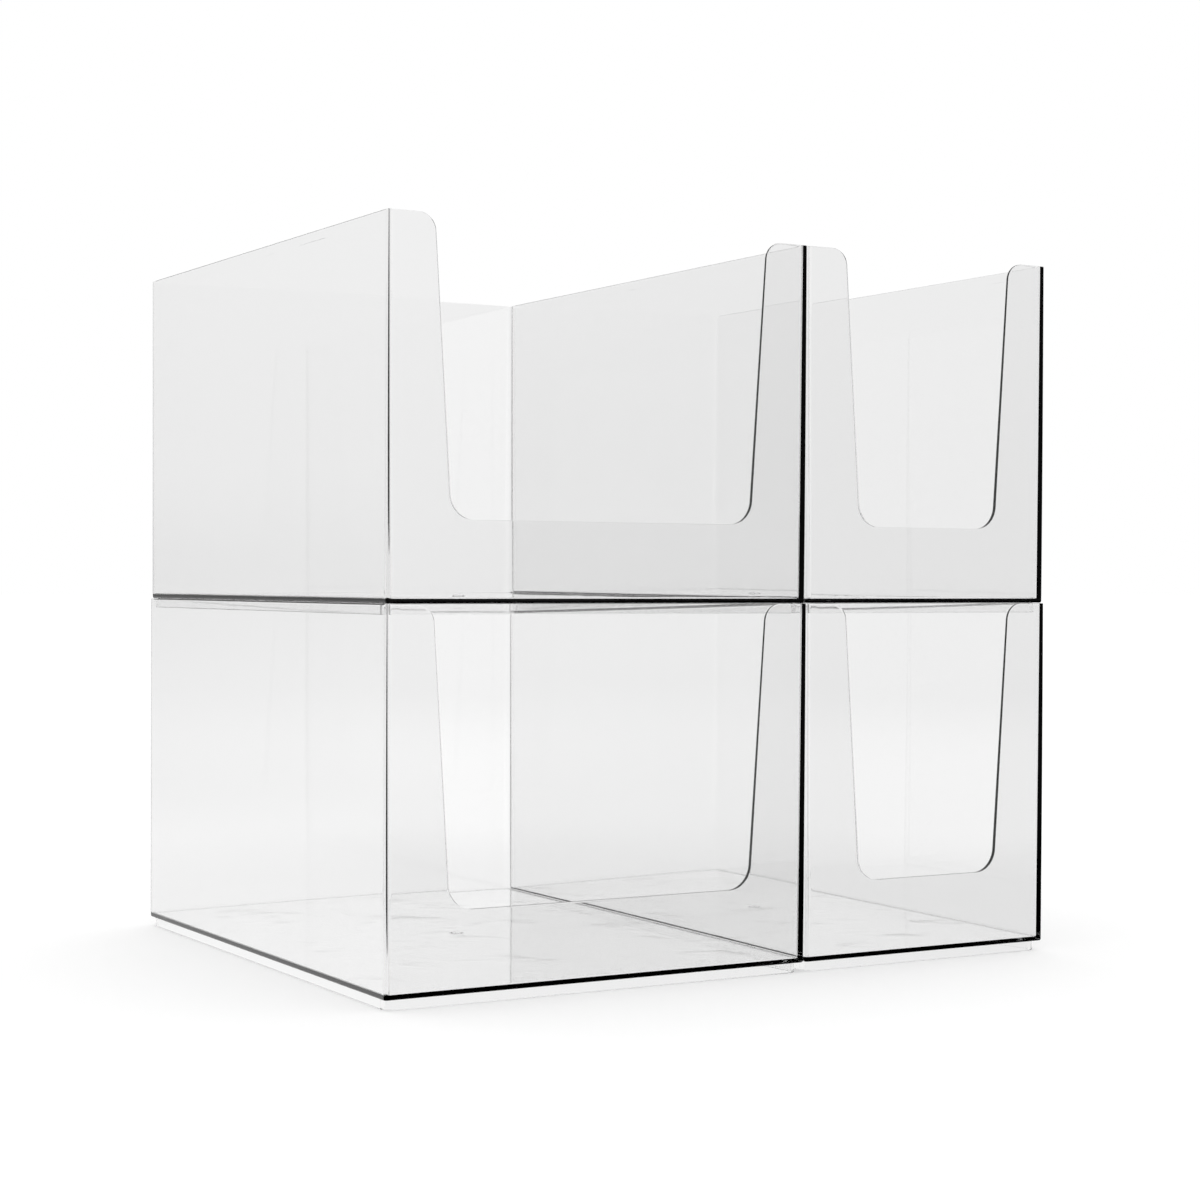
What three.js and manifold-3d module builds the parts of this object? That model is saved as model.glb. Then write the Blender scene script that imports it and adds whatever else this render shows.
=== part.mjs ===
// Four clear stacking bins: two wide ones and two narrow ones, in two columns.
// Each bin is one moulding with drafted walls, a rounded floor, an open front
// and a foot ring that nests inside the rim of the bin below.
//
// Millimetres, +Z up. The open fronts face -Y, and the origin lies on the
// floor under the middle of the set.

import * as THREE from 'three';
import { mergeVertices } from 'three/addons/utils/BufferGeometryUtils.js';
import Module from 'manifold-3d';

// The bins' overall sizes, each measured at the rim.
const WIDE_WIDTH = 260;
const NARROW_WIDTH = 172.6;
const DEPTH = 356;
const HEIGHT = 201.7; // underside of the floor plate to the rim

// The walls are thin at the rim and thicken towards the floor.
const RIM_WALL = 1.6;
const LOWER_WALL = 2.9;
const FLOOR_THICKNESS = 2.7;
const OUTER_DRAFT = 0.35; // how far each outside face leans in over the height

// Corner radii as seen from above. The front corners are nearly sharp and the
// back ones well rounded, and all but the inner back ones grow towards the floor.
const FRONT_CORNER_AT_RIM = 1.1;
const FRONT_CORNER_AT_FLOOR = 1.5;
const BACK_CORNER_AT_RIM = 3.7;
const BACK_CORNER_AT_FLOOR = 6.2;
const INNER_FRONT_CORNER_AT_RIM = 0.7;
const INNER_FRONT_CORNER_AT_FLOOR = 1.5;
const INNER_BACK_CORNER = 1.5;
const LEAST_CORNER = 0.2; // where a fillet is larger than the corner it runs round

// Edges between the walls and the floor.
const OUTER_FLOOR_EDGE_RADIUS = 0.8;
const INNER_FLOOR_FILLET = 2;

// The U-shaped opening in the front wall.
const LIP_HEIGHT = 43.5;
const EAR_WIDTH_AT_RIM = 27; // from the side face to the opening's sloping edge
const EAR_WIDTH_AT_LIP = 37.5;
const EAR_RADIUS = 10;
const LIP_CORNER_RADIUS = 14;

// The foot ring under the floor.
const FOOT_HEIGHT = 5.75;
const FOOT_THICKNESS = 2.1;
const FOOT_CORNER_RADIUS = 8;
const FOOT_EDGE_RADIUS = 0.5;
const FOOT_DRAFT = 0.1; // how far each ring face leans in over its height
const NEST_CLEARANCE = 0.7; // between the ring and the rim it drops into

// The moulding gate in the middle of the floor: a low dome above, and below
// it a cup that keeps the broken stub clear of the surface.
const GATE_DOME_RADIUS = 4.5;
const GATE_DOME_HEIGHT = 1;
const GATE_CUP_RADIUS = 3;
const GATE_CUP_DEPTH = 0.8;
const GATE_STUB_RADIUS = 0.8;
const GATE_STUB_LENGTH = 0.5;

// The running gaps between separate bins.
const SEAT_GAP = 0.3; // rim of one bin to the underside of the next
const SIDE_GAP = 0.3; // between the rims of the two columns

// How finely the round shapes are divided.
const CORNER_STEPS = 3; // two facets for each step in a quarter turn
const FOOT_CORNER_STEPS = 4;
const EDGE_STEPS = 5;
const OPENING_STEPS = 7;
const DOME_STEPS = 4;
const GATE_SEGMENTS = 20;

const CUT_OVERRUN = 2; // how far a cutting shape runs past what it cuts
const QUARTER_TURN = Math.PI / 2;

const wasm = await Module();
wasm.setup();

// A rounded rectangle in the XY plane, centred on the origin, with one radius
// for its two front corners and one for its two back corners.
function roundedRectangle(width, depth, { front, back }) {
  const outline = new THREE.Shape();
  [[1, 1, back], [-1, 1, back], [-1, -1, front], [1, -1, front]].forEach(([side, end, radius], turn) => {
    const x = side * (width / 2 - radius);
    const y = end * (depth / 2 - radius);
    outline.absarc(x, y, radius, turn * QUARTER_TURN, (turn + 1) * QUARTER_TURN);
  });
  return outline;
}

// A closed solid lofted upwards through rounded rectangles. Each section of
// the profile is { z, inset, corners }: its inset is measured from the faces
// of a width by depth block, and its corners are { front, back } radii.
function loft(width, depth, profile, cornerSteps) {
  const rings = profile.map(({ z, inset, corners }) => {
    const outline = roundedRectangle(width - 2 * inset, depth - 2 * inset, corners);
    return outline.getPoints(cornerSteps).map((p) => new THREE.Vector3(p.x, p.y, z));
  });
  const count = rings[0].length;
  const indices = [];
  for (let ring = 0; ring < rings.length - 1; ring += 1) {
    for (let i = 0; i < count; i += 1) {
      const next = (i + 1) % count;
      const low = ring * count;
      const high = low + count;
      indices.push(low + i, low + next, high + next);
      indices.push(low + i, high + next, high + i);
    }
  }
  const top = (rings.length - 1) * count;
  for (const [a, b, c] of THREE.ShapeUtils.triangulateShape(rings[0], [])) {
    indices.push(a, c, b);
    indices.push(top + a, top + b, top + c);
  }
  const geometry = new THREE.BufferGeometry().setFromPoints(rings.flat());
  geometry.setIndex(indices);
  return geometry;
}

function toManifold(geometry) {
  const bare = geometry.clone();
  bare.deleteAttribute('normal');
  bare.deleteAttribute('uv');
  const merged = mergeVertices(bare, 1e-4);
  return new wasm.Manifold(new wasm.Mesh({
    numProp: 3,
    vertProperties: new Float32Array(merged.attributes.position.array),
    triVerts: new Uint32Array(merged.index.array),
  }));
}

function toGeometry(manifold) {
  const mesh = manifold.getMesh();
  const geometry = new THREE.BufferGeometry();
  geometry.setAttribute('position', new THREE.BufferAttribute(mesh.vertProperties, 3));
  geometry.setIndex(new THREE.BufferAttribute(mesh.triVerts, 1));
  geometry.computeVertexNormals();
  return geometry;
}

// The sections of a quarter-round edge between a level face and the wall,
// which stands at the given inset with the given corners. The outline shrinks
// towards the level face when side is 1, and grows towards it when side is -1.
function roundedEdge(z, inset, edgeRadius, corners, side = 1) {
  const sections = [];
  for (let step = 0; step <= EDGE_STEPS; step += 1) {
    const angle = (step / EDGE_STEPS) * QUARTER_TURN;
    const reach = side * edgeRadius * (1 - Math.sin(angle));
    sections.push({
      z: z + edgeRadius * (1 - Math.cos(angle)),
      inset: inset + reach,
      corners: {
        front: Math.max(corners.front - reach, LEAST_CORNER),
        back: Math.max(corners.back - reach, LEAST_CORNER),
      },
    });
  }
  return sections;
}

// The outside of a bin, from its underside to the rim.
function outerProfile() {
  const lowerCorners = { front: FRONT_CORNER_AT_FLOOR, back: BACK_CORNER_AT_FLOOR };
  const rimCorners = { front: FRONT_CORNER_AT_RIM, back: BACK_CORNER_AT_RIM };
  return [
    ...roundedEdge(0, OUTER_DRAFT, OUTER_FLOOR_EDGE_RADIUS, lowerCorners),
    { z: HEIGHT, inset: 0, corners: rimCorners },
  ];
}

// The hollow, from the top of the floor plate to just past the rim.
function cavityProfile() {
  const lowerInset = OUTER_DRAFT + LOWER_WALL;
  const lowerCorners = { front: INNER_FRONT_CORNER_AT_FLOOR, back: INNER_BACK_CORNER };
  const rimCorners = { front: INNER_FRONT_CORNER_AT_RIM, back: INNER_BACK_CORNER };
  const wallHeight = HEIGHT - FLOOR_THICKNESS - INNER_FLOOR_FILLET;
  const share = (wallHeight + CUT_OVERRUN) / wallHeight;
  return [
    ...roundedEdge(FLOOR_THICKNESS, lowerInset, INNER_FLOOR_FILLET, lowerCorners),
    { z: HEIGHT, inset: RIM_WALL, corners: rimCorners },
    {
      z: HEIGHT + CUT_OVERRUN,
      inset: THREE.MathUtils.lerp(lowerInset, RIM_WALL, share),
      corners: rimCorners,
    },
  ];
}

// The frame under the floor plate, which it reaches up into. Both its faces
// lean towards each other, and its lower edges are rounded.
function footRing(width) {
  const root = FLOOR_THICKNESS / 2;
  const bottom = -FOOT_HEIGHT;
  const outerInset = RIM_WALL + NEST_CLEARANCE;
  const innerInset = outerInset + FOOT_THICKNESS;
  const ringCorners = (inward) => {
    const radius = FOOT_CORNER_RADIUS - inward;
    return { front: radius, back: radius };
  };
  const outside = [
    ...roundedEdge(bottom, outerInset + FOOT_DRAFT, FOOT_EDGE_RADIUS, ringCorners(FOOT_DRAFT)),
    { z: root, inset: outerInset, corners: ringCorners(0) },
  ];
  const innerReach = FOOT_THICKNESS - FOOT_DRAFT;
  const innerEdge = roundedEdge(
    bottom,
    outerInset + innerReach,
    FOOT_EDGE_RADIUS,
    ringCorners(innerReach),
    -1,
  );
  const inside = [
    { ...innerEdge[0], z: bottom - CUT_OVERRUN },
    ...innerEdge,
    { z: root + CUT_OVERRUN, inset: innerInset, corners: ringCorners(FOOT_THICKNESS) },
  ];
  const frame = toManifold(loft(width, DEPTH, outside, FOOT_CORNER_STEPS));
  return frame.subtract(toManifold(loft(width, DEPTH, inside, FOOT_CORNER_STEPS)));
}

// A solid turned about the Z axis from [radius, z] pairs, which start and end
// on the axis.
function turned(profile) {
  const points = profile.map(([radius, z]) => new THREE.Vector2(radius, z));
  const geometry = new THREE.LatheGeometry(points, GATE_SEGMENTS);
  geometry.rotateX(QUARTER_TURN);
  return toManifold(geometry);
}

// The low dome on the floor: a spherical cap on a short root inside the plate.
function gateDome() {
  const sphereRadius = (GATE_DOME_RADIUS ** 2 + GATE_DOME_HEIGHT ** 2) / (2 * GATE_DOME_HEIGHT);
  const centreZ = FLOOR_THICKNESS + GATE_DOME_HEIGHT - sphereRadius;
  const halfAngle = Math.asin(GATE_DOME_RADIUS / sphereRadius);
  const root = FLOOR_THICKNESS - GATE_DOME_HEIGHT / 2;
  const profile = [[0, root], [GATE_DOME_RADIUS, root]];
  for (let step = DOME_STEPS; step > 0; step -= 1) {
    const angle = (step / DOME_STEPS) * halfAngle;
    profile.push([sphereRadius * Math.sin(angle), centreZ + sphereRadius * Math.cos(angle)]);
  }
  profile.push([0, FLOOR_THICKNESS + GATE_DOME_HEIGHT]);
  return turned(profile);
}

// The space of the cup in the underside, around the stub that stays in it.
function gateCup() {
  return turned([
    [0, -CUT_OVERRUN],
    [GATE_CUP_RADIUS, -CUT_OVERRUN],
    [GATE_CUP_RADIUS, 0],
    [GATE_CUP_RADIUS - GATE_CUP_DEPTH / 2, GATE_CUP_DEPTH],
    [GATE_STUB_RADIUS, GATE_CUP_DEPTH],
    [GATE_STUB_RADIUS, GATE_CUP_DEPTH - GATE_STUB_LENGTH],
    [0, GATE_CUP_DEPTH - GATE_STUB_LENGTH],
  ]);
}

// The outline of the opening in the XZ plane, with X across the front. Its
// sides lean outwards, its lower corners are arcs, and arcs flare its top
// corners out to the rim.
function openingOutline(width) {
  const top = width / 2 - EAR_WIDTH_AT_RIM;
  const bottom = width / 2 - EAR_WIDTH_AT_LIP;
  const lean = Math.atan2(top - bottom, HEIGHT - LIP_HEIGHT);
  const tangentShare = Math.tan((QUARTER_TURN - lean) / 2);
  const earX = top + EAR_RADIUS * tangentShare;
  const earZ = HEIGHT - EAR_RADIUS;
  const lipX = bottom - LIP_CORNER_RADIUS * tangentShare;
  const lipZ = LIP_HEIGHT + LIP_CORNER_RADIUS;
  const half = 2 * QUARTER_TURN;
  const outline = new THREE.Shape();
  outline.moveTo(-earX, HEIGHT + CUT_OVERRUN);
  outline.absarc(-earX, earZ, EAR_RADIUS, QUARTER_TURN, lean, true);
  outline.absarc(-lipX, lipZ, LIP_CORNER_RADIUS, half + lean, 3 * QUARTER_TURN, false);
  outline.absarc(lipX, lipZ, LIP_CORNER_RADIUS, 3 * QUARTER_TURN, 2 * half - lean, false);
  outline.absarc(earX, earZ, EAR_RADIUS, half - lean, QUARTER_TURN, true);
  outline.lineTo(earX, HEIGHT + CUT_OVERRUN);
  return outline;
}

// The block that cuts the opening, through the front wall and no further.
function openingCutter(width) {
  const reach = OUTER_DRAFT + LOWER_WALL + INNER_FLOOR_FILLET;
  const geometry = new THREE.ExtrudeGeometry(openingOutline(width), {
    depth: CUT_OVERRUN + reach,
    bevelEnabled: false,
    curveSegments: OPENING_STEPS,
  });
  geometry.rotateX(QUARTER_TURN);
  geometry.translate(0, reach - DEPTH / 2, 0);
  return geometry;
}

// One bin, standing with the underside of its floor plate at z = 0.
function binGeometry(width) {
  const block = toManifold(loft(width, DEPTH, outerProfile(), CORNER_STEPS));
  const cavity = toManifold(loft(width, DEPTH, cavityProfile(), CORNER_STEPS));
  const shell = block.subtract(cavity).subtract(toManifold(openingCutter(width)));
  return toGeometry(shell.add(footRing(width)).add(gateDome()).subtract(gateCup()));
}

function clearPlastic() {
  return new THREE.MeshStandardMaterial({
    color: 0xf4f6f7,
    roughness: 0.06,
    metalness: 0,
    transparent: true,
    opacity: 0.3,
  });
}

// A column of two like bins, the upper one seated on the rim of the lower.
function column(size, width, centreX) {
  const group = new THREE.Group();
  const geometry = binGeometry(width);
  ['lower', 'upper'].forEach((level, storey) => {
    const bin = new THREE.Mesh(geometry, clearPlastic());
    bin.name = `${level}_${size}_bin`;
    bin.position.z = FOOT_HEIGHT + storey * (HEIGHT + SEAT_GAP);
    group.add(bin);
  });
  group.position.x = centreX;
  return group;
}

const leftFace = -(WIDE_WIDTH + SIDE_GAP + NARROW_WIDTH) / 2;
const rightFace = -leftFace;

const bins = new THREE.Group();
bins.add(column('wide', WIDE_WIDTH, leftFace + WIDE_WIDTH / 2));
bins.add(column('narrow', NARROW_WIDTH, rightFace - NARROW_WIDTH / 2));

export default bins;
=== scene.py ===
import bpy
import numpy as np
from mathutils import Matrix, Vector


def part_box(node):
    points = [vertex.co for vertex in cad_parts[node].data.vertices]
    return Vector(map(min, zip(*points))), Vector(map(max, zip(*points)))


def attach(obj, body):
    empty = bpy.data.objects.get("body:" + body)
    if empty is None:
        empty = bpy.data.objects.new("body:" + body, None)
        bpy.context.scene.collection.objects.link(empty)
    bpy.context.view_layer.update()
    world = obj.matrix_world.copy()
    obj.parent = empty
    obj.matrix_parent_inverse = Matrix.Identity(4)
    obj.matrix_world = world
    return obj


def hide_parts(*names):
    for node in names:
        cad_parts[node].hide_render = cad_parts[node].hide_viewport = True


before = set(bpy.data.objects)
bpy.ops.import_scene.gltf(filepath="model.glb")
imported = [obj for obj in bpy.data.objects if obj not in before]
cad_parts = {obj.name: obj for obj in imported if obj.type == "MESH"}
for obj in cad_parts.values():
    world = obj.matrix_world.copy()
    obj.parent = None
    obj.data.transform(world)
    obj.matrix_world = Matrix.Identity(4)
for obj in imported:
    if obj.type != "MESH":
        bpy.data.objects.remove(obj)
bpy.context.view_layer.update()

# ---------------------------------------------------------------------------
# The two wide bins. Each is one moulding of crystal-clear polystyrene: drafted
# walls on a rounded floor plate, a U-shaped open front, and a foot ring below
# that drops inside the rim of the bin it is stacked on.
# ---------------------------------------------------------------------------

RIM_WALL = 0.0016  # the walls are thin at the rim
FLOOR_WALL = 0.0029  # and thicker where they meet the floor plate
WALL_DRAFT = 0.00035  # how far an outside face leans in on its way down to the floor
FLOOR_THICKNESS = 0.0024
FLOOR_EDGE_RADIUS = 0.0011  # the plate's lower edge, outside
FLOOR_FILLET = 0.0008  # where the plate meets the walls, inside
RIM_FRONT_CORNER = 0.00065  # the radius of the upright front corners, outside, at the rim
FLOOR_FRONT_CORNER = 0.0020  # and at the floor
RIM_BACK_CORNER = 0.0037  # the back corners are rounder
FLOOR_BACK_CORNER = 0.0062
RIM_INNER_CORNER = 0.0021  # the front corners on the inside
FLOOR_INNER_CORNER = 0.0018
INNER_BACK_CORNER = 0.0015  # and the back ones, all the way up
LEAST_RADIUS = 0.00005  # no corner of the section gets sharper than this
RIM_EDGE_RADIUS = 0.0006  # the rim is nearly a half round
OPENING_EDGE_RADIUS = 0.00015  # and the front opening's edge is nearly square

LIP_HEIGHT = 0.0435  # the front opening's level edge, above the underside
EAR_AT_RIM = 0.027  # side face to the opening's sloping edge, at the rim
EAR_AT_LIP = 0.0375  # and at the lip
EAR_RADIUS = 0.010  # the arc at the top of the ear
LIP_CORNER_RADIUS = 0.014  # the arc at the bottom of the opening

FOOT_HEIGHT = 0.00575  # the ring below the plate, which drops inside the rim below
FOOT_INSET = 0.0023  # from the outer faces of the rim
FOOT_THICKNESS = 0.0021
FOOT_CORNER_RADIUS = 0.008
FOOT_EDGE_RADIUS = 0.0005
FOOT_DRAFT = 0.0001
FOOT_ROOT_FILLET = 0.00025

GATE_DOME_RADIUS = 0.0045  # the low dome on the plate, over the place the melt came in
GATE_DOME_HEIGHT = 0.001
GATE_CUP_RADIUS = 0.003  # the cup below it, with the cut stub of the gate in it
GATE_CUP_FLOOR_RADIUS = 0.0026
GATE_CUP_DEPTH = 0.0008
GATE_STUB_RADIUS = 0.0008
GATE_STUB_LENGTH = 0.0005

EDGE_SUPPORT = 0.0006  # a narrow flat strip beside each round keeps the flats flat
SMALL_SUPPORT = 0.0001  # the same beside the small rounds of the rim and the foot ring
EAR_COLUMNS, SLOPE_COLUMNS, LIP_COLUMNS, LEVEL_COLUMNS = 15, 12, 19, 8  # round half the opening
CORNER_COLUMNS, SIDE_COLUMNS, BACK_COLUMNS = 13, 15, 11  # round the rest of the plan
SIDE_SPREAD, BACK_SPREAD = 0.96, 0.94  # the share of a straight side that even columns cover
ROUND_ROWS, SMALL_ROUND_ROWS = 7, 5  # the floor's rounds, and those of the rim and the foot ring
SHARP_ANGLE = 40.0  # degrees; a sharper edge than this is not shaded smooth
RIM_START = 0.006  # the front rim's first column, in from the side face
# Where the columns below the rim, the ear's arc, the slope and the lip's arc stand on the
# floor, in from the side face.
RIM_STAND, EAR_STAND, SLOPE_STAND = (0.0090, 0.0105), (0.0115, 0.0150), (0.0160, 0.0300)
LIP_STAND = 0.0310


def front_outline(width, height):
    """The edge of the front wall as points in its plane, from its left end to its right end.

    The left half runs along the rim, round the ear's arc, down the sloping side, round the
    lip's arc and along the lip. The right half is its mirror image. Returned are each point's
    x and z, the direction out of the material there, and where the column below the point
    stands on the floor, as a share of the straight part of the wall."""
    half = width / 2
    slope_top, slope_foot = half - EAR_AT_RIM, half - EAR_AT_LIP
    lean = np.arctan2(slope_top - slope_foot, height - LIP_HEIGHT)
    reach = np.tan((np.pi / 2 - lean) / 2)
    ear_x, ear_z = slope_top + EAR_RADIUS * reach, height - EAR_RADIUS
    lip_x, lip_z = slope_foot - LIP_CORNER_RADIUS * reach, LIP_HEIGHT + LIP_CORNER_RADIUS

    rim = np.array([half - RIM_START, (half - RIM_START + ear_x) / 2])
    ear = np.linspace(np.pi / 2, lean, EAR_COLUMNS)
    lip = np.linspace(np.pi + lean, 1.5 * np.pi, LIP_COLUMNS)
    ear_end = np.array([ear_x - EAR_RADIUS * np.cos(lean), ear_z + EAR_RADIUS * np.sin(lean)])
    lip_start = np.array([lip_x - LIP_CORNER_RADIUS * np.cos(lip[0]),
                          lip_z + LIP_CORNER_RADIUS * np.sin(lip[0])])
    slope = np.linspace(0, 1, SLOPE_COLUMNS + 2)[1:-1, None]
    slope_points = ear_end + slope * (lip_start - ear_end)
    level = np.linspace(lip_x, 0, LEVEL_COLUMNS + 1)[1:]

    # All distances here are measured from the middle outwards, so the left half is x = -distance.
    out = np.concatenate([rim, ear_x - EAR_RADIUS * np.cos(ear), slope_points[:, 0],
                          lip_x - LIP_CORNER_RADIUS * np.cos(lip), level])
    up = np.concatenate([np.full(rim.size, height), ear_z + EAR_RADIUS * np.sin(ear),
                         slope_points[:, 1],
                         lip_z + LIP_CORNER_RADIUS * np.sin(lip), np.full(level.size, LIP_HEIGHT)])
    normal_x = np.concatenate([np.zeros(rim.size), np.cos(ear),
                               np.full(len(slope_points), np.cos(lean)),
                               -np.cos(lip), np.zeros(level.size)])
    normal_z = np.concatenate([np.ones(rim.size), np.sin(ear),
                               np.full(len(slope_points), np.sin(lean)),
                               -np.sin(lip), np.ones(level.size)])
    # The columns fan out evenly along the floor, a little way in from the points they start at.
    stand = np.concatenate([half - np.linspace(*RIM_STAND, rim.size),
                            half - np.linspace(*EAR_STAND, ear.size),
                            half - np.linspace(*SLOPE_STAND, len(slope_points)),
                            np.linspace(half - LIP_STAND, lip_x, lip.size), level])
    stand = stand / (half - FLOOR_FRONT_CORNER - WALL_DRAFT)
    x = np.concatenate([-out, out[-2::-1]])
    z = np.concatenate([up, up[-2::-1]])
    nx = np.concatenate([normal_x, -normal_x[-2::-1]])
    nz = np.concatenate([normal_z, normal_z[-2::-1]])
    share = np.concatenate([-stand, stand[-2::-1]])
    return x, z, nx, nz, share


def bin_surface(width, depth, height, centre_x, underside):
    """One bin's whole skin as a grid of points, closed at both poles.

    Columns run round the plan and rows run along the section: from the gate dome out across
    the floor plate, up the inside of the wall, over the rim or the edge of the opening, down
    the outside, under the plate, round the foot ring and back in to the gate cup. A row is a
    rounded rectangle: a corner's middle plus its radius turned round it, or, on a straight
    side, a share of the side's length. Each wall is ruled from its foot to its edge, except
    that the front corners, outside, tighten as the square of the way up."""
    quarter = np.linspace(0, np.pi / 2, CORNER_COLUMNS)
    near = 1 - EDGE_SUPPORT / (depth / 2 - FLOOR_FRONT_CORNER)
    side = np.concatenate([[-near], np.linspace(-SIDE_SPREAD, SIDE_SPREAD, SIDE_COLUMNS), [near]])
    near = 1 - EDGE_SUPPORT / (width / 2 - FLOOR_BACK_CORNER)
    back = np.concatenate([[-near], np.linspace(-BACK_SPREAD, BACK_SPREAD, BACK_COLUMNS), [near]])
    near = 1 - EDGE_SUPPORT / (width / 2 - FLOOR_FRONT_CORNER)
    edge_x, edge_z, edge_nx, edge_nz, edge_share = front_outline(width, height)
    front = np.concatenate([[-near], edge_share, [near]])

    # Each column: which corner it belongs to (or its share of a side) and the way it faces.
    turn = np.concatenate([np.zeros(side.size), quarter,
                           np.full(back.size, np.pi / 2), quarter + np.pi / 2,
                           np.full(side.size, np.pi), quarter + np.pi,
                           np.full(front.size, 1.5 * np.pi), quarter + 1.5 * np.pi])
    one = np.ones(quarter.size)
    share_x = np.concatenate([np.ones(side.size), one, -back, -one,
                              -np.ones(side.size), -one, front, one])
    share_y = np.concatenate([side, one, np.ones(back.size), one,
                              -side, -one, -np.ones(front.size), -one])
    face_x, face_y = np.cos(turn), np.sin(turn)
    first = 2 * side.size + back.size + 3 * quarter.size + 1
    in_front = slice(first, first + edge_share.size)

    rim_z = np.full(turn.size, height)
    rim_z[in_front] = edge_z
    out_x, out_z = np.zeros(turn.size), np.ones(turn.size)
    out_x[in_front], out_z[in_front] = edge_nx, edge_nz

    def ring(inset, radius, z, x=None):
        """A row: its inset from the rim's outer faces, its corner radius and its height."""
        inset, radius, z = (np.broadcast_to(np.asarray(value, float), turn.shape)
                            for value in (inset, radius, z))
        px = share_x * (width / 2 - inset - radius) + radius * face_x
        py = share_y * (depth / 2 - inset - radius) + radius * face_y
        if x is not None:
            px = px.copy()
            px[in_front] = x
        return np.stack([px, py, z], axis=1)

    def outer_inset(z):
        """How far the outside face has leaned in from the rim's, evenly on the way down."""
        return WALL_DRAFT * (1 - z / height)

    def outer_radius(z):
        """The corners' radius outside: it grows evenly on the way down at the back, and as the
        square of the way down at the front."""
        front = RIM_FRONT_CORNER + (FLOOR_FRONT_CORNER - RIM_FRONT_CORNER) * (1 - z / height) ** 2
        back = FLOOR_BACK_CORNER + (RIM_BACK_CORNER - FLOOR_BACK_CORNER) * z / height
        return np.where(share_y > 0, back, front)

    def inner_rise(z):
        """The share of the way up the inside of the wall, from the top of the fillet to the rim."""
        return (z - FLOOR_THICKNESS - FLOOR_FILLET) / (height - FLOOR_THICKNESS - FLOOR_FILLET)

    def inner_inset(z):
        """The inside face's inset: the draft and the floor's wall at the foot, and evenly less
        on the way up, to the rim's wall."""
        return WALL_DRAFT + FLOOR_WALL + inner_rise(z) * (RIM_WALL - WALL_DRAFT - FLOOR_WALL)

    def inner_radius(z):
        """The corners' radius inside: the same all the way up at the back, and evenly growing at
        the front."""
        front = FLOOR_INNER_CORNER + inner_rise(z) * (RIM_INNER_CORNER - FLOOR_INNER_CORNER)
        return np.where(share_y > 0, INNER_BACK_CORNER, front)

    edge_radius = np.full(turn.size, RIM_EDGE_RADIUS)
    up_the_ear = np.clip((edge_z - height) / EAR_RADIUS + 1, 0, 1)
    growth = RIM_EDGE_RADIUS - OPENING_EDGE_RADIUS
    edge_radius[in_front] = OPENING_EDGE_RADIUS + growth * up_the_ear

    def edge_row(back_off, sink, inner):
        """A row near the wall's free edge: back_off below it on the wall, and sink deep in it."""
        z = rim_z - out_z * back_off
        x = edge_x - edge_nx * back_off[in_front]
        if inner:
            return ring(inner_inset(z) - sink, inner_radius(z) + sink, z, x)
        return ring(outer_inset(z) + sink, outer_radius(z) - sink, z, x)

    def strip(start, end):
        """Two rows on the flat between start and end, each close to one of them."""
        reach = SMALL_SUPPORT / np.linalg.norm(end - start, axis=1, keepdims=True)
        return [start + reach * (end - start), end - reach * (end - start)]

    def to_circle(row, radius, z, shares):
        """Rows between a rounded rectangle and a circle, along straight lines."""
        angle = np.arctan2(row[:, 1], row[:, 0])
        circle = np.stack([radius * np.cos(angle), radius * np.sin(angle),
                           np.full(angle.size, z)], axis=1)
        return [row + share * (circle - row) for share in shares]

    rows = []
    rounding = np.linspace(0, np.pi / 2, ROUND_ROWS)
    # The gate dome: a spherical cap.
    ball = (GATE_DOME_RADIUS ** 2 + GATE_DOME_HEIGHT ** 2) / (2 * GATE_DOME_HEIGHT)
    plate_edge = ring(WALL_DRAFT + FLOOR_WALL + FLOOR_FILLET + EDGE_SUPPORT,
                      LEAST_RADIUS, FLOOR_THICKNESS)
    for r in GATE_DOME_RADIUS * np.array([0.2, 0.4, 0.6, 0.8, 1.0]):
        z = FLOOR_THICKNESS + GATE_DOME_HEIGHT - ball + np.sqrt(ball ** 2 - r ** 2)
        rows += to_circle(plate_edge, r, z, [1.0])
    # The floor plate, and the fillet that runs up into the walls.
    rows += to_circle(plate_edge, GATE_DOME_RADIUS + EDGE_SUPPORT, FLOOR_THICKNESS,
                      [1.0, 0.8, 0.55, 0.3, 0.1, 0.0])
    for a in rounding:
        reach = FLOOR_FILLET * (1 - np.sin(a))
        rows.append(ring(WALL_DRAFT + FLOOR_WALL + reach,
                         max(FLOOR_INNER_CORNER - reach, LEAST_RADIUS),
                         FLOOR_THICKNESS + FLOOR_FILLET * (1 - np.cos(a))))
    # The inside of the walls, ruled up to the edge.
    foot, top = rows[-1], edge_row(edge_radius + EDGE_SUPPORT, 0, True)
    rows += [foot + k * (top - foot) for k in (0.004, 0.15, 0.35, 0.6, 0.85, 1.0)]
    # Over the edge: a quarter round, the level edge, and a quarter round.
    bend = np.linspace(0, np.pi / 2, SMALL_ROUND_ROWS)
    rows += [edge_row(edge_radius * (1 - np.sin(a)), edge_radius * (1 - np.cos(a)), True)
             for a in bend]
    over = [edge_row(edge_radius * (1 - np.sin(a)), edge_radius * (1 - np.cos(a)), False)
            for a in bend[::-1]]
    rows += strip(rows[-1], over[0]) + over
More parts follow.
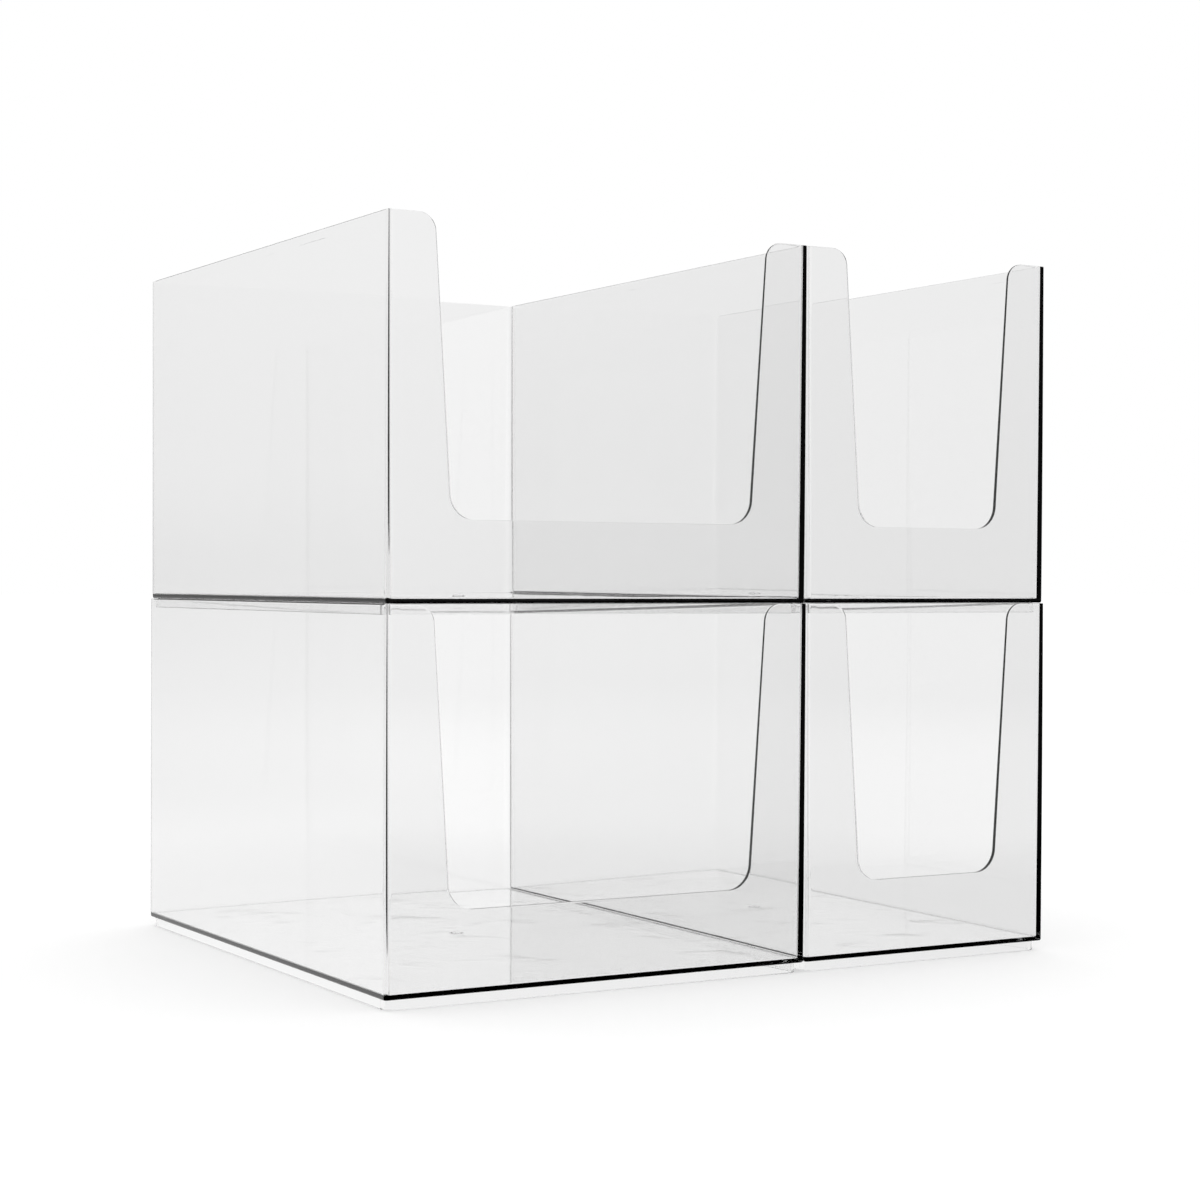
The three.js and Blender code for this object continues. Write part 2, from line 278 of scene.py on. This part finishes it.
    # The outside of the walls, ruled down to the rounded floor edge.
    top = edge_row(edge_radius + EDGE_SUPPORT, 0, False)
    foot = ring(outer_inset(FLOOR_EDGE_RADIUS), outer_radius(FLOOR_EDGE_RADIUS),
                FLOOR_EDGE_RADIUS)
    front_corner = (share_y == -1) & (abs(share_x) == 1)
    way = np.stack([face_x - share_x, face_y - share_y, 0 * turn], axis=1) * front_corner[:, None]
    sag = FLOOR_FRONT_CORNER - RIM_FRONT_CORNER
    rows += [top + k * (foot - top) - sag * k * (1 - k) * way
             for k in (0.0, 0.15, 0.3, 0.45, 0.6, 0.75, 0.88, 0.996)]
    for a in rounding[::-1]:
        reach = FLOOR_EDGE_RADIUS * (1 - np.sin(a))
        rows.append(ring(WALL_DRAFT + reach, outer_radius(0) - reach,
                         FLOOR_EDGE_RADIUS * (1 - np.cos(a))))

    # The foot ring: a small fillet at its root, its drafted outer face, its rounded lower edges
    # and its inner face. Each of its four rounds is a quarter turn about a section's corner.
    def foot_round(inset, radius, z, side, fillet):
        """Rows round one corner of the ring's section; side is 1 outside and -1 inside."""
        size = FOOT_ROOT_FILLET if fillet else -FOOT_EDGE_RADIUS
        return [ring(inset - side * size * (1 - np.sin(a)), radius + side * size * (1 - np.sin(a)),
                     z - size * (1 - np.cos(a))) for a in bend]

    inner, inner_corner = FOOT_INSET + FOOT_THICKNESS, FOOT_CORNER_RADIUS - FOOT_THICKNESS
    for turn_rows in (
        foot_round(FOOT_INSET, FOOT_CORNER_RADIUS, 0, 1, True),
        foot_round(FOOT_INSET + FOOT_DRAFT, FOOT_CORNER_RADIUS - FOOT_DRAFT,
                   -FOOT_HEIGHT, 1, False)[::-1],
        foot_round(inner - FOOT_DRAFT, inner_corner + FOOT_DRAFT, -FOOT_HEIGHT, -1, False),
        foot_round(inner, inner_corner, 0, -1, True)[::-1],
    ):
        rows += strip(rows[-1], turn_rows[0]) + turn_rows
    # The underside, the gate cup and the stub left in it.
    rows += to_circle(rows[-1], GATE_CUP_RADIUS, 0, [0.002, 0.05, 0.3, 0.6, 0.9, 0.999, 1.0])
    rows += to_circle(plate_edge, GATE_CUP_FLOOR_RADIUS, GATE_CUP_DEPTH, [1.0])
    rows += to_circle(plate_edge, GATE_STUB_RADIUS, GATE_CUP_DEPTH, [1.0])
    rows += to_circle(plate_edge, GATE_STUB_RADIUS, GATE_CUP_DEPTH - GATE_STUB_LENGTH, [1.0])

    poles = np.array([[0, 0, FLOOR_THICKNESS + GATE_DOME_HEIGHT],
                      [0, 0, GATE_CUP_DEPTH - GATE_STUB_LENGTH]])
    return np.stack(rows) + [centre_x, 0, underside], poles + [centre_x, 0, underside]


def closed_mesh(name, grid, poles):
    """A mesh of four-sided faces over the grid, joined round, with a fan of three-sided ones
    at each pole."""
    count, around = grid.shape[:2]
    number = np.arange(count * around).reshape(count, around)
    nxt = np.roll(number, -1, axis=1)
    quads = np.stack([number[:-1], number[1:], nxt[1:], nxt[:-1]], axis=-1).reshape(-1, 4)
    start, end = count * around, count * around + 1
    fan = np.stack([np.full(around, start), number[0], nxt[0]], axis=-1)
    last = np.stack([number[-1], np.full(around, end), nxt[-1]], axis=-1)
    points = np.concatenate([grid.reshape(-1, 3), poles])
    mesh = bpy.data.meshes.new(name)
    mesh.from_pydata(points.tolist(), [], quads.tolist() + fan.tolist() + last.tolist())
    mesh.validate()
    mesh.shade_smooth()
    mesh.set_sharp_from_angle(angle=np.radians(SHARP_ANGLE))
    piece = bpy.data.objects.new(name, mesh)
    bpy.context.scene.collection.objects.link(piece)
    return piece


def calculate(nodes, links, operation, *values):
    """A Math node's result; a value may be a number or another node's output."""
    node = nodes.new("ShaderNodeMath")
    node.operation = operation
    for socket, value in zip(node.inputs, values):
        if isinstance(value, (int, float)):
            socket.default_value = value
        else:
            links.new(value, socket)
    return node.outputs[0]


def eased(nodes, links, value, start, end, low=0.0, high=1.0):
    """A value turned into low before start and high past end, with a soft step between."""
    node = nodes.new("ShaderNodeMapRange")
    node.interpolation_type = "SMOOTHSTEP"
    for name, amount in zip(("From Min", "From Max", "To Min", "To Max"), (start, end, low, high)):
        node.inputs[name].default_value = amount
    links.new(value, node.inputs["Value"])
    return node.outputs["Result"]


def noise(nodes, links, place, scale, detail):
    """Cloudy noise from 0 to 1, with scale spots to the metre."""
    node = nodes.new("ShaderNodeTexNoise")
    node.inputs["Scale"].default_value = scale
    node.inputs["Detail"].default_value = detail
    links.new(place, node.inputs["Vector"])
    return node.outputs[0]


REFRACTION = 1.57  # a little under polystyrene's
ABSORPTION = 14.0  # a metre of it, which only darkens the long ways through the edges
WAVES, WAVE_HEIGHT = 8.0, 0.00012  # spots to the metre, and their height
RIPPLES, RIPPLE_HEIGHT = 60.0, 0.000002
CLOUDS, CLOUD_HEIGHT = 26.0, 0.000032
CLOUD_STEP = (0.5, 0.75)  # a cloud rises as its noise goes from one to the other
STOREY = 0.202  # the clouds come again with each storey
PLATE_TOP, PLATE_FADE = 0.009, 0.001  # and end at this level of it, over this height
SCUFF_CELLS, SCUFF_WIDTH, SCUFF_ROUGHNESS = 55.0, 0.010, 0.12
SCUFF_PATCHES, PATCH_STEP = 40.0, (0.56, 0.66)  # scuffs show in these patches only


def clear_plastic():
    """Crystal-clear polystyrene, bent by the long low waves of a moulded plate and by finer
    ripples. Low clouds lie on the floor plates, where the melt ran out from the gate, and hair
    scuffs, thin edges of cells broken up into short lengths, dull the gloss a little."""
    material = bpy.data.materials.new("clear_plastic")
    material.use_nodes = True
    nodes, links = material.node_tree.nodes, material.node_tree.links
    shader = nodes["Principled BSDF"]
    shader.inputs["Base Color"].default_value = (1, 1, 1, 1)
    shader.inputs["Transmission Weight"].default_value = 1.0
    shader.inputs["IOR"].default_value = REFRACTION
    depth = nodes.new("ShaderNodeVolumeAbsorption")
    depth.inputs["Color"].default_value = (0, 0, 0, 1)
    depth.inputs["Density"].default_value = ABSORPTION
    links.new(depth.outputs[0], nodes["Material Output"].inputs["Volume"])
    place = nodes.new("ShaderNodeTexCoord").outputs["Object"]

    apart = nodes.new("ShaderNodeSeparateXYZ")
    links.new(place, apart.inputs[0])
    rise = calculate(nodes, links, "FLOORED_MODULO", apart.outputs["Z"], STOREY)
    clouds = calculate(nodes, links, "MULTIPLY",
                       eased(nodes, links, rise, PLATE_TOP + PLATE_FADE, PLATE_TOP),
                       eased(nodes, links, noise(nodes, links, place, CLOUDS, 2.0), *CLOUD_STEP))
    normal = None
    for height, distance in ((noise(nodes, links, place, WAVES, 1.0), WAVE_HEIGHT),
                             (noise(nodes, links, place, RIPPLES, 0.0), RIPPLE_HEIGHT),
                             (clouds, CLOUD_HEIGHT)):
        bump = nodes.new("ShaderNodeBump")
        bump.inputs["Strength"].default_value = 1.0
        bump.inputs["Distance"].default_value = distance
        links.new(height, bump.inputs["Height"])
        if normal is not None:
            links.new(normal, bump.inputs["Normal"])
        normal = bump.outputs["Normal"]
    links.new(normal, shader.inputs["Normal"])

    cells = nodes.new("ShaderNodeTexVoronoi")
    cells.feature = "DISTANCE_TO_EDGE"
    cells.inputs["Scale"].default_value = SCUFF_CELLS
    links.new(place, cells.inputs["Vector"])
    patches = noise(nodes, links, place, SCUFF_PATCHES, 1.0)
    scuffs = calculate(nodes, links, "MULTIPLY", eased(nodes, links, patches, *PATCH_STEP),
                       eased(nodes, links, cells.outputs["Distance"], SCUFF_WIDTH, 0.0))
    scuffs = calculate(nodes, links, "MULTIPLY", scuffs, SCUFF_ROUGHNESS)
    links.new(scuffs, shader.inputs["Roughness"])
    return material


plastic = clear_plastic()


def make_bin(name, node, body):
    """A bin in its CAD node's place: the node's box gives the plan and the heights of the
    floor and the rim."""
    low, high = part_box(node)
    underside = low.z + FOOT_HEIGHT
    grid, poles = bin_surface(high.x - low.x, high.y - low.y, high.z - underside,
                              (low.x + high.x) / 2, underside)
    piece = closed_mesh(name, grid, poles)
    piece.data.materials.append(plastic)
    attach(piece, body)
    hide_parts(node)
    return piece


make_bin("wide_bin_below", "lower_wide_bin", "lower_wide")
make_bin("wide_bin_above", "upper_wide_bin", "upper_wide")

# ---------------------------------------------------------------------------
# The two narrow bins, moulded like the wide ones and of the same depth and
# height, so that their floors and rims line up with their neighbours'.
# ---------------------------------------------------------------------------

make_bin("narrow_bin_below", "lower_narrow_bin", "lower_narrow")
make_bin("narrow_bin_above", "upper_narrow_bin", "upper_narrow")

# ---------------------------------------------------------------------------
# The table and the room: a matt white card, far larger than the bins, in even
# white light from all round, with a very broad soft lamp above and behind. The card
# also glows: to the camera an even lift to full white, and to rays through or off the
# plastic painted levels of light and shade in place of its own shading.
# ---------------------------------------------------------------------------

TABLE_HALF = 30.0
TABLE_WHITE = 0.55  # the matt share of the table's white; a glow gives the rest
ROOM_LIGHT = 0.70
LAMP_SHARE = 0.30
OPEN_WHITE = 0.10  # lifts the open table to full white, so that only the shadow shows
CARD_TOOTH = 700.0  # spots to the metre
TOOTH_STEP, TOOTH_SHARE = (0.3, 0.7), 0.97  # their soft step in the noise, and how white they are

# Directions of the room: to the right of the camera, and ahead of it. The pairs below are
# the two ends of a soft step in a direction's own x, y or z, or in its share of one of these.
ACROSS, ALONG = (0.866, -0.5), (0.5, 0.866)
BACK_HALF = (-0.1, 0.1)  # y, from the front half of the room to the back half
NOT_AHEAD = (0.7, 0.9)  # along, from beside the bins to straight behind them
UPWARD = (-0.05, 0.05)  # z, from the table to the room
OFF_LEVEL = (0.0, 0.05)  # z without its sign, from the horizon up or down
PAST_FRONT = (0.1, 0.4)  # y, from the camera's end of the room to the sides
BACKDROP = 0.918  # the white behind the bins, as it shows through them
BACKDROP_SLOPE, BACKDROP_REACH = 0.2, 0.15  # it is a little brighter towards the left, this far out
PAINTED_TABLE_GLOW = 0.07  # and a painted glow on the open table behind the bins, seen through them,
PAINTED_GLOW_START, PAINTED_GLOW_END = (0.3, 0.7), (1.2, 3.0)  # between these distances
MIRRORED = 1.0  # what the plastic's inner reflections find
SIDE_DIMMED = 0.22  # less this at the sides
TABLE_DIMMED = 0.08  # and less this where they find the table there, a painted shade on the table's glow
FIRST_SIDE = 0.68  # a reflection off the first face met finds a duller white at the sides,
FIRST_HORIZON = 0.48  # duller still level with the bins,
FIRST_FRONT = 0.05  # a dark room towards the camera,
FIRST_TABLE_PAINTED_WHITE = 1.0  # and a painted bright white on the table close by,
FRONT_PLANE = -0.17  # where it is behind this plane; in front of it the table is painted dark
NEAR, FAR = 0.4, 1.4  # and within these distances
MIDDLE = 0.15  # how high above the table the directions are counted from

table_mesh = bpy.data.meshes.new("table")
corners = TABLE_HALF * np.array([[-1, -1, 0], [1, -1, 0], [1, 1, 0], [-1, 1, 0]])
table_mesh.from_pydata(corners.tolist(), [], [(0, 1, 2, 3)])
table = bpy.data.objects.new("table", table_mesh)
bpy.context.scene.collection.objects.link(table)


def ray_kinds(nodes, links):
    """Light Path's rays as four values of 0 or 1: straight from the camera, seen through plastic,
    mirrored after a way through plastic, and mirrored by the first surface met."""
    path = nodes.new("ShaderNodeLightPath")
    bent = calculate(nodes, links, "MAXIMUM", path.outputs["Is Glossy Ray"],
                     path.outputs["Is Transmission Ray"])
    clean = calculate(nodes, links, "LESS_THAN", path.outputs["Diffuse Depth"], 0.5)
    bent = calculate(nodes, links, "MULTIPLY", bent, clean)
    glossy = calculate(nodes, links, "GREATER_THAN", path.outputs["Glossy Depth"], 0.5)
    passed = calculate(nodes, links, "GREATER_THAN", path.outputs["Transmission Depth"], 0.5)
    glossy = calculate(nodes, links, "MULTIPLY", bent, glossy)
    mirrored = calculate(nodes, links, "MULTIPLY", glossy, passed)
    first = calculate(nodes, links, "SUBTRACT", glossy, mirrored)
    through = calculate(nodes, links, "SUBTRACT", bent, glossy)
    return path.outputs["Is Camera Ray"], through, mirrored, first


def room_levels(nodes, links, direction):
    """How white the room is in a direction: seen through the plastic, mirrored inside it, and
    mirrored by the first face met."""
    apart = nodes.new("ShaderNodeSeparateXYZ")
    links.new(direction, apart.inputs[0])
    x, y = apart.outputs["X"], apart.outputs["Y"]
    across = calculate(nodes, links, "MULTIPLY_ADD", x, ACROSS[0],
                       calculate(nodes, links, "MULTIPLY", y, ACROSS[1]))
    along = calculate(nodes, links, "MULTIPLY_ADD", x, ALONG[0],
                      calculate(nodes, links, "MULTIPLY", y, ALONG[1]))
    seen = nodes.new("ShaderNodeMapRange")
    for name, amount in (("From Min", -BACKDROP_REACH), ("From Max", BACKDROP_REACH),
                         ("To Min", BACKDROP + BACKDROP_REACH * BACKDROP_SLOPE),
                         ("To Max", BACKDROP - BACKDROP_REACH * BACKDROP_SLOPE)):
        seen.inputs[name].default_value = amount
    links.new(across, seen.inputs["Value"])
    beside = calculate(nodes, links, "MULTIPLY", eased(nodes, links, y, *BACK_HALF),
                       eased(nodes, links, along, *NOT_AHEAD, 1.0, 0.0))
    dimmed = calculate(nodes, links, "MULTIPLY", beside,
                       eased(nodes, links, apart.outputs["Z"], *UPWARD, TABLE_DIMMED, SIDE_DIMMED))
    steep = calculate(nodes, links, "ABSOLUTE", apart.outputs["Z"])
    side = eased(nodes, links, steep, *OFF_LEVEL,
                 FIRST_HORIZON - FIRST_FRONT, FIRST_SIDE - FIRST_FRONT)
    first = calculate(nodes, links, "MULTIPLY_ADD", side,
                      eased(nodes, links, y, *PAST_FRONT), FIRST_FRONT)
    return seen.outputs["Result"], calculate(nodes, links, "SUBTRACT", MIRRORED, dimmed), first


white = bpy.data.materials.new("matt_white")
white.use_nodes = True
nodes, links = white.node_tree.nodes, white.node_tree.links
nodes.clear()
camera_ray, through, mirrored, first = ray_kinds(nodes, links)
place = nodes.new("ShaderNodeTexCoord")
apart = nodes.new("ShaderNodeSeparateXYZ")
links.new(place.outputs["Object"], apart.inputs[0])
length = nodes.new("ShaderNodeVectorMath")
length.operation = "LENGTH"
links.new(place.outputs["Object"], length.inputs[0])
distance = length.outputs["Value"]
# The way to this place from the middle of the bins, a little above the table.
below = nodes.new("ShaderNodeVectorMath")
below.operation = "ADD"
below.inputs[1].default_value = (0, 0, -MIDDLE)
links.new(place.outputs["Object"], below.inputs[0])
direction = nodes.new("ShaderNodeVectorMath")
direction.operation = "SCALE"
links.new(below.outputs[0], direction.inputs[0])
reach = calculate(nodes, links, "MAXIMUM", distance, FAR)
links.new(calculate(nodes, links, "DIVIDE", 1.0, reach), direction.inputs["Scale"])
# For rays through or off the plastic the table shows painted levels of the room's light, not its
# own shading.
seen, mirror, first_far = room_levels(nodes, links, direction.outputs[0])
# A painted glow on the table, brighter between these distances, for rays seen through the plastic.
painted_glow = calculate(nodes, links, "MULTIPLY",
                  eased(nodes, links, distance, *PAINTED_GLOW_START, 0.0, PAINTED_TABLE_GLOW),
                  eased(nodes, links, distance, *PAINTED_GLOW_END, 1.0, 0.0))
seen = calculate(nodes, links, "ADD", seen, painted_glow)
close = eased(nodes, links, distance, NEAR, FAR, 1.0, 0.0)
# Painted reflection on the table: to first reflections it is bright white close by at the sides,
# dark in front of the bins, and further out takes the room's levels.
at_side = calculate(nodes, links, "GREATER_THAN", apart.outputs["Y"], FRONT_PLANE)
painted_first_near = calculate(nodes, links, "MULTIPLY", at_side, FIRST_TABLE_PAINTED_WHITE)
first_level = calculate(nodes, links, "MULTIPLY_ADD", close,
                        calculate(nodes, links, "SUBTRACT", painted_first_near, first_far), first_far)
# The painted glow for each kind of ray: seen through, mirrored inside, and mirrored by the first
# face.
strength = calculate(nodes, links, "MULTIPLY", seen, through)
strength = calculate(nodes, links, "MULTIPLY_ADD", mirror, mirrored, strength)
strength = calculate(nodes, links, "MULTIPLY_ADD", first_level, first, strength)
# The camera sees the matt share, with the shadow, and a glow that makes up the rest of the white.
open_level = TABLE_WHITE * (ROOM_LIGHT + LAMP_SHARE)
strength = calculate(nodes, links, "MULTIPLY_ADD", camera_ray,
                     1 - open_level + OPEN_WHITE, strength)
# Those rays see none of the card's matt shading or its shadow: the painted levels above stand in
# for it.
matt_share = calculate(nodes, links, "SUBTRACT", 1.0,
                       calculate(nodes, links, "ADD", through, mirrored))
matt_share = calculate(nodes, links, "SUBTRACT", matt_share, first)
matt = nodes.new("ShaderNodeBsdfDiffuse")
# The fine tooth of matt card: tiny soft spots a little duller than the rest.
tooth = noise(nodes, links, place.outputs["Object"], CARD_TOOTH, 2.0)
card = calculate(nodes, links, "MULTIPLY", matt_share,
                 eased(nodes, links, tooth, *TOOTH_STEP, TOOTH_SHARE * TABLE_WHITE, TABLE_WHITE))
links.new(card, matt.inputs["Color"])
glow = nodes.new("ShaderNodeEmission")
links.new(strength, glow.inputs["Strength"])
add = nodes.new("ShaderNodeAddShader")
links.new(matt.outputs[0], add.inputs[0])
links.new(glow.outputs[0], add.inputs[1])
out = nodes.new("ShaderNodeOutputMaterial")
links.new(add.outputs[0], out.inputs["Surface"])
table_mesh.materials.append(white)

world = bpy.data.worlds.new("studio")
bpy.context.scene.world = world
world.use_nodes = True
nodes, links = world.node_tree.nodes, world.node_tree.links
background = nodes["Background"]
background.inputs["Color"].default_value = (1, 1, 1, 1)
camera_ray, through, mirrored, first = ray_kinds(nodes, links)
place = nodes.new("ShaderNodeTexCoord")
seen, mirror, first_level = room_levels(nodes, links, place.outputs["Generated"])
other = calculate(nodes, links, "SUBTRACT", 1.0,
                  calculate(nodes, links, "ADD", through, mirrored))
other = calculate(nodes, links, "SUBTRACT", other,
                  calculate(nodes, links, "ADD", camera_ray, first))
level = calculate(nodes, links, "MULTIPLY_ADD", other, ROOM_LIGHT, camera_ray)
level = calculate(nodes, links, "MULTIPLY_ADD", seen, through, level)
level = calculate(nodes, links, "MULTIPLY_ADD", mirror, mirrored, level)
level = calculate(nodes, links, "MULTIPLY_ADD", first_level, first, level)
links.new(level, background.inputs["Strength"])

LAMP_SPREAD, LAMP_TILT = np.radians(70), np.radians(12)  # how wide it looks, and off upright

lamp_data = bpy.data.lights.new("softbox", "SUN")
lamp_data.angle = LAMP_SPREAD
lamp_data.energy = LAMP_SHARE * np.pi / np.cos(LAMP_TILT)  # its share of white on level ground
lamp = bpy.data.objects.new("softbox", lamp_data)
lamp.rotation_euler = (-LAMP_TILT, 0, 0)
bpy.context.scene.collection.objects.link(lamp)

# ---------------------------------------------------------------------------
# The camera: low in front, to the left of the set, looking almost level.
# ---------------------------------------------------------------------------

EYE = (-0.7327, -1.2871, 0.2196)
YAW, PITCH, ROLL = np.radians([30.062, 0.682, 0.221])
ahead = Vector((np.sin(YAW) * np.cos(PITCH), np.cos(YAW) * np.cos(PITCH), np.sin(PITCH)))
level_right = Vector((np.cos(YAW), -np.sin(YAW), 0))
level_up = level_right.cross(ahead)
right = np.cos(ROLL) * level_right + np.sin(ROLL) * level_up
up = np.cos(ROLL) * level_up - np.sin(ROLL) * level_right
lens = bpy.data.cameras.new("camera")
lens.lens = 71.85
lens.sensor_width = 36
lens.shift_y = -0.0394
lens.clip_end = 100
camera = bpy.data.objects.new("camera", lens)
turned = Matrix((right, up, -ahead)).transposed().to_4x4()
camera.matrix_world = Matrix.Translation(EYE) @ turned
bpy.context.scene.collection.objects.link(camera)
bpy.context.scene.camera = camera

# Enough bounces for the long ways through stacked clear walls.
scene = bpy.context.scene
scene.view_settings.view_transform = "Standard"
scene.cycles.max_bounces = 40
scene.cycles.transmission_bounces = 40
scene.cycles.glossy_bounces = 4
